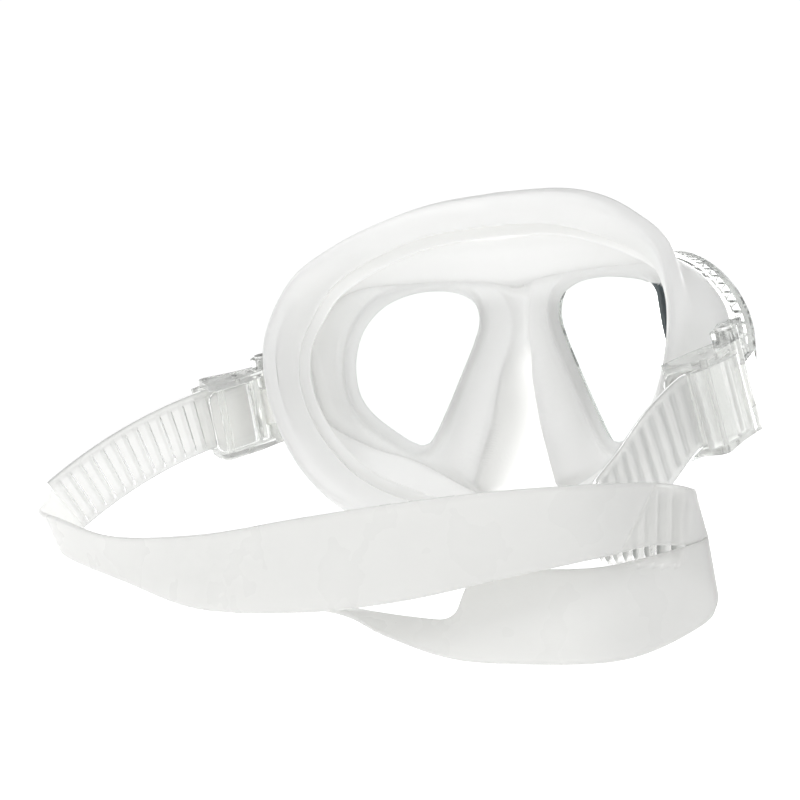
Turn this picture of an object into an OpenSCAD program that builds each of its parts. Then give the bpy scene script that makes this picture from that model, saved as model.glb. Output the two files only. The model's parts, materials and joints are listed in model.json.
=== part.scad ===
// Diving mask: two tempered panes in a clear one-piece frame, a soft skirt with a
// nose pocket, and a soft split head strap adjusted by two hinged roller buckles.
// Row frame, millimetres: origin at the centre of the bridge pad's front face,
// -Y is the way the wearer looks, +Y runs back to the face, +Z is up, +X is the
// wearer's left. The left half is modelled and mirrored for the right half.

/* [Front frame] */
// Rake of each lens half, turned back from the bridge, degrees
rake_deg = 8; // [0:1:14]
// Thickness of the frame's front plate
plate_t = 2.4; // [1.6:0.1:4]
// Depth of the open side channel behind the front plate
channel_depth = 6.5; // [6:0.5:14]
// Wall thickness of the rim and of the channel's inner wall
rim_wall = 1.5; // [1:0.1:2.5]
// Width of the side channel between rim and inner wall
channel_w = 4.6; // [3:0.1:7]
// Number of stiffening webs across each side channel
web_count = 11; // [5:1:15]
// Thickness of one stiffening web
web_t = 0.8; // [0.5:0.1:1.5]
// Half width of the flat bridge pad at the front
pad_half_w = 8; // [5:0.5:10]
// Height of the bridge pad's centre over the frame's drawing axis
pad_mid = 18; // [14:0.5:22]
// Height of the bridge pad
pad_h = 20; // [12:1:24]

/* [Lenses] */
// Thickness of a tempered pane
lens_t = 4; // [3:0.5:5]
// How far a pane reaches past the clear window, all round
lens_margin = 3.4; // [2:0.1:5]
// Thickness of the retaining bezel in front of a pane
bezel_t = 1.6; // [1:0.1:2.5]
// Width of the bezel past the pane's edge
bezel_lap = 1.5; // [1:0.1:2.5]
// How far the bezel's lip reaches in over the pane
bezel_lip = 0.8; // [0.5:0.1:2]
// Clearance round the pane and the bezel
seat_gap = 0.1; // [0.05:0.05:0.3]

/* [Skirt] */
// Wall thickness of the soft skirt
skirt_t = 2; // [1.5:0.1:3]
// Thickness of the sealing lip at its free edge
lip_t = 1.2; // [0.8:0.1:2]
// Radius of the bend between the skirt wall and the sealing lip
bend_r = 3; // [2:0.5:5]

/* [Buckles] */
// Hinge point, distance out from the plane of symmetry
hinge_x = 87.8; // [84:0.1:92]
// Hinge point, distance back from the bridge pad
hinge_y = 27.8; // [22:0.1:34]
// Hinge point, height over the frame's drawing axis
hinge_z = -7; // [-14:0.5:0]
// Lean of the hinge pins back towards the face, degrees
hinge_lean = 16; // [0:1:30]
// Lean of the hinge pins in towards the nose, degrees
hinge_tilt = 4; // [0:1:10]
// Outward swing of the left buckle as drawn, degrees
left_swing = 18; // [-40:1:30]
// Outward swing of the right buckle as drawn, degrees
right_swing = -10; // [-40:1:30]
// Hinge pin radius
pin_r = 1.5; // [1:0.1:2]
// Running clearance of every pivot, on the radius
run_gap = 0.05; // [0.02:0.01:0.1]
// Outer radius of the hinge knuckles
knuckle_r = 3.6; // [3:0.1:4.5]
// Clear width between the buckle's side walls
buckle_gap = 20.8; // [16:0.1:26]
// Thickness of a buckle side wall
cheek_t = 2; // [1.4:0.1:3]
// Roller radius
roller_r = 2.9; // [2:0.1:3.5]
// Roller axle radius
axle_r = 1; // [0.8:0.1:1.4]

/* [Strap] */
// Width of the ribbed strap ends
strap_w = 20; // [15:0.5:25]
// Thickness of the strap, without ribs
strap_t = 1.6; // [1.2:0.1:2.5]
// Height of one rib
rib_h = 0.8; // [0.5:0.1:1.2]
// Width of one rib
rib_w = 1.2; // [0.8:0.1:2]
// Distance from rib to rib
rib_pitch = 4; // [3:0.5:6]
// Length of the left ribbed end behind the roller
left_len = 62; // [40:1:80]
// Downward bend of the left ribbed end over its length, degrees
left_bend = 24; // [0:1:40]
// Length of the loose tail inside the buckle
tail_len = 12; // [8:1:36]
// Radius of the tail's corners
tail_corner = 3; // [1:0.5:8]

/* [Hidden] */
side_fn = 48;
post_fn = 8;
tiny = 0.01;
window_loop = [[63.1, -1], [62.4, 6], [59.1, 13], [53, 18.6], [44.4, 22.2], [34.3, 23.4],
               [24.7, 22.4], [17.9, 19], [16.3, 13.5], [18.6, 7], [21.8, 0.8], [25.4, -6],
               [29.3, -13], [33.5, -20], [36.8, -23.6], [41.4, -23.4], [48.9, -19.4],
               [57, -13.8], [61.6, -8]];
rim_line = [[-4, 29.5], [12, 31.6], [27, 32.6], [42, 31.8], [55, 29.9], [61.5, 28.7],
            [67, 26.8], [72.3, 23.8], [76.2, 20.6], [79.6, 17], [82.2, 13.2], [84.2, 9],
            [85.2, 4], [85.4, -3], [85.2, -10], [84.4, -15.5], [82, -21.2], [77, -25.3],
            [69, -27.4], [57, -31], [44, -33.4], [32, -31.6], [23, -22.5], [15.5, -10],
            [9, -1.2], [-4, 4]];
// Skirt guide points, top centre to bottom centre: [sideways, back, up]
seat_line = [[0, 7.4, 25.5], [22, 9.6, 27.5], [40, 12, 28], [54, 15, 27.8], [66, 16.6, 24.6],
             [76.2, 18, 16.2], [79.6, 18.6, 6], [77, 18.7, -6], [71.5, 17.8, -17.5],
             [56, 14.9, -25.8], [38, 12, -31], [18, 6, -41], [0, 1, -46]];
bend_line = [[0, 18, 50], [23, 19.5, 49], [40, 22.5, 45.5], [56, 28, 39], [70, 33, 29.5],
             [77, 38, 13], [76.2, 40, -2], [71.5, 39.5, -17], [63, 38, -31],
             [51, 35, -42], [35, 30, -49.5], [18, 24, -53], [0, 21, -54]];
lip_line = [[0, 21, 41], [21, 22, 40], [36.5, 23.6, 36.7], [51.5, 25.2, 31.4], [63.5, 26.6, 23.5],
            [69.6, 30.8, 9], [69.2, 32.8, -3], [64.5, 33, -14.5], [56, 33, -25],
            [44.5, 32, -34], [31, 29, -40], [16, 26, -44], [0, 24.5, -44.5]];
// Nose pocket guide balls: [sideways, back, up, radius]
nose_balls = [[0, 3.5, 3, 4.5], [7, -3, -16, 6], [10, -5, -34, 9], [14.5, 9, -36, 6],
              [11, 11, -20, 4]];
// Head band edges, left corner to right fold: [sideways, back, up]
upper_low = [[115.7, 84.1, -47.4], [106.9, 95.4, -51.7], [91.4, 103.7, -55.9], [62, 112, -60], [24, 118, -64],
             [-18, 121, -63], [-50, 120, -58.5], [-78, 116, -53], [-101, 108, -47.5],
             [-111, 102, -45], [-117, 95, -43]];
upper_high = [[117.1, 97.1, -32.3], [108.9, 101.9, -37.7], [95.4, 106.7, -41.9], [67, 112.5, -45], [23, 119, -43.5],
              [-18, 121, -38], [-50, 119, -34], [-78, 115, -31.5], [-101, 107, -30.5],
              [-111, 101, -30.5], [-116, 93, -32.5]];
lower_low = [[106.9, 95.4, -51.7], [66, 106, -57.5], [24, 108, -61.5], [-14, 109.5, -62.5], [-35, 111, -68],
             [-55, 112, -72], [-74, 112, -73], [-91, 111, -72], [-106, 108, -70.5],
             [-115, 105, -68], [-123, 101, -63], [-124.5, 97, -56]];
lower_high = [[107.9, 97.4, -44.7], [66, 106, -50], [24, 107, -55], [-14, 108, -60], [-38, 108, -64.2],
              [-54, 108, -63.8], [-60, 108, -57.5], [-68, 108, -51.5], [-83, 107, -52],
              [-98, 105, -53], [-110, 101, -52], [-118, 96, -49]];
fold_low = [[-117, 95, -43], [-121, 93.5, -52], [-124.5, 97, -56]];
fold_high = [[-116, 93, -32.5], [-118, 92, -40], [-118, 96, -49]];
// Right ribbed end edges behind the buckle: [sideways, back, up]
right_low = [[-88.9, 48.8, -26], [-85, 56, -35], [-80, 65, -44.5], [-77, 74, -51.5], [-84, 83, -53],
             [-95, 88, -51.5], [-106, 90.5, -50.5], [-116, 91, -50.5]];
right_high = [[-87.5, 54.3, -6.8], [-82.5, 62, -15], [-77.5, 68, -25], [-75.5, 75, -32], [-83, 81.5, -34],
              [-94.5, 86.5, -32], [-106, 88.5, -31.5], [-114.5, 88.5, -33]];

lens_w0 = bezel_t;
lens_w1 = bezel_t + lens_t;
buckle_zc = -2.5;
cheek_in = buckle_gap / 2;
cheek_out = cheek_in + cheek_t;
ear_top = buckle_zc + cheek_out;
ear_low = buckle_zc - cheek_out;
face_gap = 0.1;
roller_y = 10.4;
roller_x = 0.8;
wrap_in = roller_r + run_gap * 3;
wrap_out = wrap_in + strap_t;
layer_x0 = roller_x + wrap_in;
layer_x1 = roller_x + wrap_out;
tail_x1 = roller_x - wrap_in;
tail_x0 = roller_x - wrap_out;
strap_start = 13;
bend_rad = left_len / left_bend * 180 / PI;
lever_pivot = [7.4, 17.6];
lever_pin_r = 0.8;

// ---- curves ----
function at(p, i) = p[(i + len(p)) % len(p)];
function knot(a, b, c, d, t) = 0.5 * (2 * b + (c - a) * t + (2 * a - 5 * b + 4 * c - d) * t * t
                               + (3 * b - a - 3 * c + d) * t * t * t);
function round_loop(p, m) = [for (i = [0 : len(p) - 1]) for (j = [0 : m - 1])
    knot(at(p, i - 1), p[i], at(p, i + 1), at(p, i + 2), j / m)];
function clamped(p, i) = p[max(0, min(len(p) - 1, i))];
function round_line(p, m) = concat([for (i = [0 : len(p) - 2]) for (j = [0 : m - 1])
    knot(clamped(p, i - 1), p[i], p[i + 1], clamped(p, i + 2), j / m)], [p[len(p) - 1]]);
function both_sides(p) = concat(p, [for (i = [len(p) - 2 : -1 : 1]) [-p[i][0], p[i][1], p[i][2]]]);
function out_dir(p, i) = let (d = at(p, i + 1) - at(p, i - 1), l = norm([d[0], d[2]]))
    [-d[2] / l, 0, d[0] / l];
function pulled_in(p, d, back) = [for (i = [0 : len(p) - 1])
    p[i] - out_dir(p, i) * d + [0, back, 0]];

// ---- placing ----
// The drawing axis is below the row origin, which is the bridge pad's centre
module row() { translate([0, 0, -pad_mid]) children(); }
module on_side(s) { if (s > 0) children(); else mirror([1, 0, 0]) children(); }
module slab(w0, w1) { translate([0, w1, 0]) rotate([90, 0, 0]) linear_extrude(w1 - w0) children(); }
module raked() { rotate([0, 0, rake_deg]) children(); }
module at_hinge(swing) {
    translate([hinge_x, hinge_y, hinge_z]) rotate([-hinge_lean, 0, 0])
        rotate([0, -hinge_tilt, 0]) rotate([0, 0, -swing]) children();
}
module rod(r, z0, z1) { translate([0, 0, z0]) cylinder(r = r, h = z1 - z0, $fn = side_fn); }

// ---- front frame ----
module window_2d() { polygon(round_loop(window_loop, 3)); }
module lens_2d(extra) { offset(delta = lens_margin + extra) window_2d(); }
module rim_2d() { polygon(round_line(rim_line, 3)); }
module side_zone_2d() { polygon([[46, 60], [110, 60], [110, -26], [62, -26], [62, 6]]); }

module ring_2d(inset) {
    difference() {
        offset(delta = -inset) rim_2d();
        offset(delta = -inset - rim_wall) rim_2d();
    }
}

module webs_2d() {
    intersection() {
        difference() {
            offset(delta = -rim_wall / 2) rim_2d();
            offset(delta = -channel_w - rim_wall * 1.5) rim_2d();
        }
        union() for (k = [0 : web_count - 1])
            translate([52, -4]) rotate([0, 0, 58 - k * 5.4]) translate([0, -web_t / 2])
                square([60, web_t]);
    }
}

module frame_half() {
    intersection() {
        raked() difference() {
            union() {
                slab(0, plate_t) rim_2d();
                slab(0, lens_w1) intersection() { lens_2d(bezel_lap + rim_wall); rim_2d(); }
                slab(0, channel_depth) intersection() { ring_2d(0); side_zone_2d(); }
                slab(0, channel_depth - 1) intersection() { webs_2d(); side_zone_2d(); }
                slab(0, lens_w1) intersection() { ring_2d(channel_w + rim_wall); side_zone_2d(); }
            }
            slab(-1, channel_depth + 1) lens_2d(seat_gap);
            slab(-1, bezel_t) lens_2d(bezel_lap + seat_gap);
        }
        translate([0, -20, -60]) cube([110, 80, 120]);
    }
    hinge_lug();
}

module hinge_lug() {
    at_hinge(0) difference() {
        union() {
            rod(knuckle_r, -8.3, 3.3);
            rod(knuckle_r, ear_top + face_gap, 13);
            translate([0, 0, -8.3]) linear_extrude(11.6)
                polygon([[-3.4, 0], [-8, -11], [-7.6, -14.6], [-2, -14.6], [3.5, -0.6]]);
            translate([0, 0, ear_top + face_gap]) linear_extrude(13 - ear_top - face_gap)
                polygon([[-3.4, 0], [-8, -10], [-11, -13.4], [-3.4, -14.6], [3.5, -0.6]]);
            translate([0, 0, 3.2]) linear_extrude(ear_top - 2.8)
                polygon([[-7.2, -9], [-7.6, -14.6], [-3.4, -14.6], [-2.4, -9]]);
        }
        rod(pin_r + rim_wall * 0.6, -8.4, 3.4);
        rod(pin_r, ear_top, 13.1);
    }
}

module frame() {
    row() color([0.93, 0.95, 0.96, 0.45]) union() {
        frame_half();
        mirror([1, 0, 0]) frame_half();
        translate([-pad_half_w, 0, pad_mid - pad_h / 2]) cube([pad_half_w * 2, plate_t + 1.6, pad_h]);
    }
}

module lens() { raked() slab(lens_w0, lens_w1) lens_2d(0); }
module bezel() {
    raked() slab(0, bezel_t) difference() { lens_2d(bezel_lap); lens_2d(-bezel_lip); }
}
module lens_left() { row() color([0.86, 0.93, 0.92, 0.3]) lens(); }
module lens_right() { row() color([0.86, 0.93, 0.92, 0.3]) mirror([1, 0, 0]) lens(); }
module bezel_left() { row() color([0.9, 0.92, 0.93, 0.6]) bezel(); }
module bezel_right() { row() color([0.9, 0.92, 0.93, 0.6]) mirror([1, 0, 0]) bezel(); }

// ---- skirt ----
module loop_shell(rings) {
    n = len(rings[0]);
    k = len(rings);
    polyhedron(
        points = [for (r = rings) each r],
        faces = [for (a = [0 : k - 1]) for (i = [0 : n - 1])
            let (b = (a + 1) % k, j = (i + 1) % n)
            each [[a * n + i, b * n + j, a * n + j], [a * n + i, b * n + i, b * n + j]]]);
}

module skirt_wall() {
    seat = round_loop(both_sides(seat_line), 3);
    bend = round_loop(both_sides(bend_line), 3);
    lip = round_loop(both_sides(lip_line), 3);
    mid = [for (i = [0 : len(seat) - 1]) seat[i] * 0.45 + bend[i] * 0.55 - out_dir(bend, i) * 1.5];
    loop_shell([seat, mid, bend, pulled_in(bend, bend_r, bend_r), pulled_in(lip, 0, lip_t / 2),
                pulled_in(lip, 0, -lip_t / 2), pulled_in(bend, skirt_t + bend_r / 2, bend_r / 2 - 2),
                pulled_in(bend, skirt_t, -2), pulled_in(mid, skirt_t, 0.4),
                pulled_in(seat, skirt_t, 0)]);
}

module front_wall_half() {
    intersection() {
        raked() slab(lens_w1, lens_w1 + skirt_t) difference() {
            polygon([for (p = round_line(seat_line, 3)) [p[0] * 1.01 + 0.4, p[2]]]);
            window_2d();
        }
        translate([0, -20, -60]) cube([110, 80, 120]);
    }
}

module nose_hull(grow, back) {
    hull() for (b = nose_balls) for (s = [-1, 1]) for (d = [0, back])
        translate([s * b[0], b[1] + d, b[2]]) sphere(r = b[3] + grow, $fn = 20);
}

module skirt() {
    row() color([0.95, 0.96, 0.96, 0.75]) difference() {
        union() {
            skirt_wall();
            front_wall_half();
            mirror([1, 0, 0]) front_wall_half();
            difference() {
                nose_hull(0, 0);
                translate([-40, 14, -60]) cube([80, 60, 120]);
            }
        }
        nose_hull(-skirt_t, 24);
    }
}

// ---- buckles, drawn at the hinge: x outward, y back along the strap, z up the pin ----
module hinge_pin() {
    difference() {
        union() {
            rod(pin_r, ear_low, 13.4);
            rod(pin_r + 0.7, 13.02, 13.9);
        }
        rod(pin_r * 0.5, 12, 14);
    }
}
module hinge_bush() {
    difference() {
        rod(pin_r + rim_wall * 0.6, -8.3, 3.3);
        rod(pin_r + run_gap, -8.4, 3.4);
    }
}

module cheek_2d() {
    hull() {
        circle(r = knuckle_r - 0.3, $fn = side_fn);
        translate([0.2, roller_y - 1]) circle(r = 5.4, $fn = side_fn);
    }
    hull() {
        translate([0.2, roller_y - 1.2]) circle(r = 5.2, $fn = side_fn);
        translate([lever_pivot[0] - 0.6, lever_pivot[1]]) circle(r = 2.2, $fn = side_fn);
        translate([-2.4, 18.6]) circle(r = 2.8, $fn = side_fn);
    }
}

module buckle() {
    difference() {
        union() {
            for (z0 = [buckle_zc - cheek_out, buckle_zc + cheek_in])
                translate([0, 0, z0]) linear_extrude(cheek_t) cheek_2d();
            rod(knuckle_r, 3.4, ear_top);
            rod(knuckle_r, ear_low, -8.4);
            translate([-2.2, knuckle_r + 0.2, ear_low + 0.5]) cube([4.6, 1.6, cheek_out * 2 - 1]);
            translate([-5.3, 17.6, ear_low + 0.5]) cube([1.3, 2, cheek_out * 2 - 1]);
        }
        rod(pin_r + run_gap, -15, 20);
        translate([roller_x, roller_y, 0]) rod(axle_r, buckle_zc - cheek_out - 1, buckle_zc + cheek_out + 1);
        translate([lever_pivot[0], lever_pivot[1], 0])
            rod(lever_pin_r, buckle_zc - cheek_out - 1, buckle_zc + cheek_out + 1);
    }
}

module roller() {
    translate([roller_x, roller_y, buckle_zc]) difference() {
        rod(roller_r, 0.2 - cheek_in, cheek_in - 0.2);
        rod(axle_r + run_gap, -cheek_out, cheek_out);
    }
}
module roller_axle() {
    translate([roller_x, roller_y, buckle_zc]) rod(axle_r, -cheek_out, cheek_out);
}

module lever_2d() {
    polygon([[6, 6.2], [7.6, 5], [9, 6.8], [9.4, 12], [9.2, 20], [8.2, 22.6], [6.9, 22.6],
             [6.3, 20.6], [6.3, 15], [6.1, 12], [5.55, 10.4], [6.1, 9]]);
}
module lever() {
    difference() {
        translate([0, 0, buckle_zc + 0.2 - cheek_in]) linear_extrude(cheek_in * 2 - 0.4) lever_2d();
        translate([lever_pivot[0], lever_pivot[1], 0]) rod(lever_pin_r + run_gap, -30, 30);
    }
}
module lever_pin() {
    translate([lever_pivot[0], lever_pivot[1], buckle_zc]) rod(lever_pin_r, -cheek_out, cheek_out);
}

// ---- strap ----
module wrap_and_tail() {
    half = strap_w / 2;
    translate([roller_x, roller_y, buckle_zc - half]) rotate([0, 0, 180])
        rotate_extrude(angle = 180, $fn = side_fn) translate([wrap_in, 0]) square([strap_t, strap_w]);
    translate([layer_x0, roller_y - tiny, buckle_zc - half]) cube([strap_t, strap_start - roller_y + 2 * tiny, strap_w]);
    translate([tail_x0, roller_y, buckle_zc]) rotate([90, 0, 90]) linear_extrude(strap_t) hull() {
        translate([-tiny, -half]) square([tail_len - tail_corner, strap_w]);
        for (s = [-1, 1]) translate([tail_len - tail_corner, s * (half - tail_corner)])
            circle(r = tail_corner, $fn = side_fn);
    }
}

// Ribs stand on the inner face of the outer layer
module ribbed_arc(length, turn) {
    half = strap_w / 2;
    rad = length / turn * 180 / PI;
    count = floor((length - 4) / rib_pitch);
    translate([layer_x0, strap_start, buckle_zc - rad]) rotate([0, 90, 0]) {
        rotate([0, 0, 180 - turn]) rotate_extrude(angle = turn, $fn = 200)
            translate([rad - half, 0]) square([strap_w, strap_t]);
        for (k = [1 : count]) rotate([0, 0, 180 - (k * rib_pitch) / length * turn])
            translate([rad - half + 2, -rib_w / 2, -rib_h]) cube([strap_w - 4, rib_w, rib_h + tiny]);
    }
}

module strap_end_left() {
    row() color([0.93, 0.95, 0.95, 0.6]) at_hinge(left_swing) union() {
        wrap_and_tail();
        ribbed_arc(left_len, left_bend);
    }
}

module edge_ball(p) { translate(p) sphere(r = strap_t / 2, $fn = post_fn); }
module sheet(low, high) {
    for (i = [0 : len(low) - 2]) hull() {
        edge_ball(low[i]);
        edge_ball(high[i]);
        edge_ball(low[i + 1]);
        edge_ball(high[i + 1]);
    }
}

module strap_end_right() {
    row() color([0.93, 0.95, 0.95, 0.6]) union() {
        mirror([1, 0, 0]) at_hinge(right_swing) {
            wrap_and_tail();
            ribbed_arc(12, 3);
        }
        sheet(right_low, right_high);
    }
}

module head_band() {
    row() color([0.95, 0.96, 0.96, 0.75]) union() {
        sheet(upper_low, upper_high);
        sheet(lower_low, lower_high);
        sheet(fold_low, fold_high);
    }
}

// ---- sub-parts, left then right ----
module hinge_pin_left() { row() color([0.8, 0.82, 0.84]) at_hinge(0) hinge_pin(); }
module hinge_pin_right() { row() color([0.8, 0.82, 0.84]) mirror([1, 0, 0]) at_hinge(0) hinge_pin(); }
module hinge_bush_left() { row() color([0.97, 0.97, 0.95]) at_hinge(0) hinge_bush(); }
module hinge_bush_right() { row() color([0.97, 0.97, 0.95]) mirror([1, 0, 0]) at_hinge(0) hinge_bush(); }
module buckle_left() { row() color([0.9, 0.93, 0.94, 0.5]) at_hinge(left_swing) buckle(); }
module buckle_right() { row() color([0.9, 0.93, 0.94, 0.5]) mirror([1, 0, 0]) at_hinge(right_swing) buckle(); }
module roller_left() { row() color([0.92, 0.94, 0.95, 0.6]) at_hinge(left_swing) roller(); }
module roller_right() { row() color([0.92, 0.94, 0.95, 0.6]) mirror([1, 0, 0]) at_hinge(right_swing) roller(); }
module roller_axle_left() { row() color([0.8, 0.82, 0.84]) at_hinge(left_swing) roller_axle(); }
module roller_axle_right() {
    row() color([0.8, 0.82, 0.84]) mirror([1, 0, 0]) at_hinge(right_swing) roller_axle();
}
module lever_left() { row() color([0.9, 0.93, 0.94, 0.5]) at_hinge(left_swing) lever(); }
module lever_right() { row() color([0.9, 0.93, 0.94, 0.5]) mirror([1, 0, 0]) at_hinge(right_swing) lever(); }
module lever_pin_left() { row() color([0.8, 0.82, 0.84]) at_hinge(left_swing) lever_pin(); }
module lever_pin_right() {
    row() color([0.8, 0.82, 0.84]) mirror([1, 0, 0]) at_hinge(right_swing) lever_pin();
}

frame();
skirt();
lens_left();
lens_right();
bezel_left();
bezel_right();
hinge_pin_left();
hinge_pin_right();
hinge_bush_left();
hinge_bush_right();
buckle_left();
buckle_right();
roller_left();
roller_right();
roller_axle_left();
roller_axle_right();
lever_left();
lever_right();
lever_pin_left();
lever_pin_right();
strap_end_left();
strap_end_right();
head_band();
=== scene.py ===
"""Diving mask: materials for the moulded parts, and the soft skirt and strap as finished meshes."""
import json
import math

import bpy
import numpy as np
from mathutils import Matrix, Vector
from mathutils.geometry import delaunay_2d_cdt


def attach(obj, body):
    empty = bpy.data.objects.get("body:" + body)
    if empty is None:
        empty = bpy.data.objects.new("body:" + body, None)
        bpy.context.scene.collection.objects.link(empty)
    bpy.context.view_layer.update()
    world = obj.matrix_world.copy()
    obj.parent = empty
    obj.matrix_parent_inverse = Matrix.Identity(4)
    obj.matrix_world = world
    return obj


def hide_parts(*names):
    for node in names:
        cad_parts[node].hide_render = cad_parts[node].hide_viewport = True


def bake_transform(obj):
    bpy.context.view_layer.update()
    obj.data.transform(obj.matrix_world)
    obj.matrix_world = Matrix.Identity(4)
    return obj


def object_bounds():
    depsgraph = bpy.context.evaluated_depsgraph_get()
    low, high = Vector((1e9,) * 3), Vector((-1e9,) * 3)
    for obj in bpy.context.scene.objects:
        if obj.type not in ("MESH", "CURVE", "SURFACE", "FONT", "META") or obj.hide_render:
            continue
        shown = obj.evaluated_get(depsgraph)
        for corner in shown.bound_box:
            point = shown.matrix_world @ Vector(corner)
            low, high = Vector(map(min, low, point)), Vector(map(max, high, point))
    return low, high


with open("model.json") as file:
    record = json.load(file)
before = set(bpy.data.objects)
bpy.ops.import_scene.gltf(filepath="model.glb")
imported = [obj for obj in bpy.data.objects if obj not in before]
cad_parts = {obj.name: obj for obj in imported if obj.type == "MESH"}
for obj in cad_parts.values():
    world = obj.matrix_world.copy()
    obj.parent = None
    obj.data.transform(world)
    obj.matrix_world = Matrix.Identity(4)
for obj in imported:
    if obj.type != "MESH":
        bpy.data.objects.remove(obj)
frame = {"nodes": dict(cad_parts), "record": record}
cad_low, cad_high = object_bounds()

MM = 0.001
PAD_MID = 18.0            # the drawing axis is this far below the row's origin
RAKE = math.radians(8)
LENS_BACK = 5.6           # back of the panes, along the raked normal
SKIRT_T = 2.0
LIP_T = 1.2
BEND_R = 3.0
STRAP_T = 1.6
RIB_PITCH = 4.0
RIB_H = 0.8

# ------------------------------------------------------------------ curves and meshes


def spline(points, steps, closed=False):
    """Catmull-Rom curve through the points, as an array."""
    p = np.array(points, float)
    if closed:
        p = np.vstack([p[-1:], p, p[:2]])
    else:
        p = np.vstack([2 * p[0] - p[1], p, 2 * p[-1] - p[-2]])
    out = []
    for a, b, c, d in zip(p[:-3], p[1:-2], p[2:-1], p[3:]):
        for k in range(steps):
            t = k / steps
            out.append(0.5 * (2 * b + (c - a) * t + (2 * a - 5 * b + 4 * c - d) * t * t
                              + (3 * b - a - 3 * c + d) * t ** 3))
    if not closed:
        out.append(p[-2])
    return np.array(out)


def unit(v):
    return v / np.maximum(np.linalg.norm(v, axis=-1, keepdims=True), 1e-9)


def smooth_step(x):
    x = np.clip(x, 0, 1)
    return x * x * (3 - 2 * x)


def spaced(line, step):
    """The polyline's arc length and evenly spaced samples of it."""
    s = np.concatenate([[0], np.cumsum(np.linalg.norm(np.diff(line, axis=0), axis=1))])
    n = max(2, int(round(s[-1] / step)) + 1)
    return s, np.linspace(0, s[-1], n)


def new_mesh(name, points_mm, faces, material, smooth=True):
    """A mesh object from points in millimetres over the drawing axis."""
    mesh = bpy.data.meshes.new(name)
    points = (np.array(points_mm, float) - [0, 0, PAD_MID]) * MM
    mesh.from_pydata(points.tolist(), [], faces)
    mesh.update()
    mesh.materials.append(material)
    obj = bpy.data.objects.new(name, mesh)
    bpy.context.scene.collection.objects.link(obj)
    if smooth:
        mesh.polygons.foreach_set("use_smooth", [True] * len(mesh.polygons))
    return obj


def apply_modifiers(obj):
    deps = bpy.context.evaluated_depsgraph_get()
    done = bpy.data.meshes.new_from_object(obj.evaluated_get(deps))
    obj.modifiers.clear()
    obj.data = done
    obj.data.polygons.foreach_set("use_smooth", [True] * len(done.polygons))
    return obj


def ring_faces(rows, count, closed_rows):
    """Quads over a stack of rows, each a closed ring of count points."""
    last = rows if closed_rows else rows - 1
    return [(a * count + i, a * count + (i + 1) % count,
             ((a + 1) % rows) * count + (i + 1) % count, ((a + 1) % rows) * count + i)
            for a in range(last) for i in range(count)]


# ------------------------------------------------------------------ materials


def node_tree(name):
    material = bpy.data.materials.new(name)
    material.use_nodes = True
    tree = material.node_tree
    tree.nodes.clear()
    return material, tree


def add(tree, kind, inputs=None, **settings):
    node = tree.nodes.new("ShaderNode" + kind)
    for key, value in settings.items():
        setattr(node, key, value)
    for key, value in (inputs or {}).items():
        if isinstance(value, bpy.types.NodeSocket):
            tree.links.new(value, node.inputs[key])
        else:
            node.inputs[key].default_value = value
    return node


def math_node(tree, operation, a, b=0.0, clamp=False):
    return add(tree, "Math", {0: a, 1: b}, operation=operation, use_clamp=clamp).outputs[0]


def fine_bump(tree, scale, strength, distance):
    """A moulded surface's fine unevenness, and a roughness that wanders with it."""
    place = add(tree, "TexCoord")
    fine = add(tree, "TexNoise", {"Vector": place.outputs["Object"], "Scale": scale, "Detail": 4.0})
    broad = add(tree, "TexNoise", {"Vector": place.outputs["Object"], "Scale": scale / 14, "Detail": 3.0})
    height = math_node(tree, "ADD", fine.outputs["Fac"], broad.outputs["Fac"])
    bump = add(tree, "Bump", {"Height": height, "Strength": strength, "Distance": distance})
    return bump.outputs["Normal"], broad.outputs["Fac"]


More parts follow.
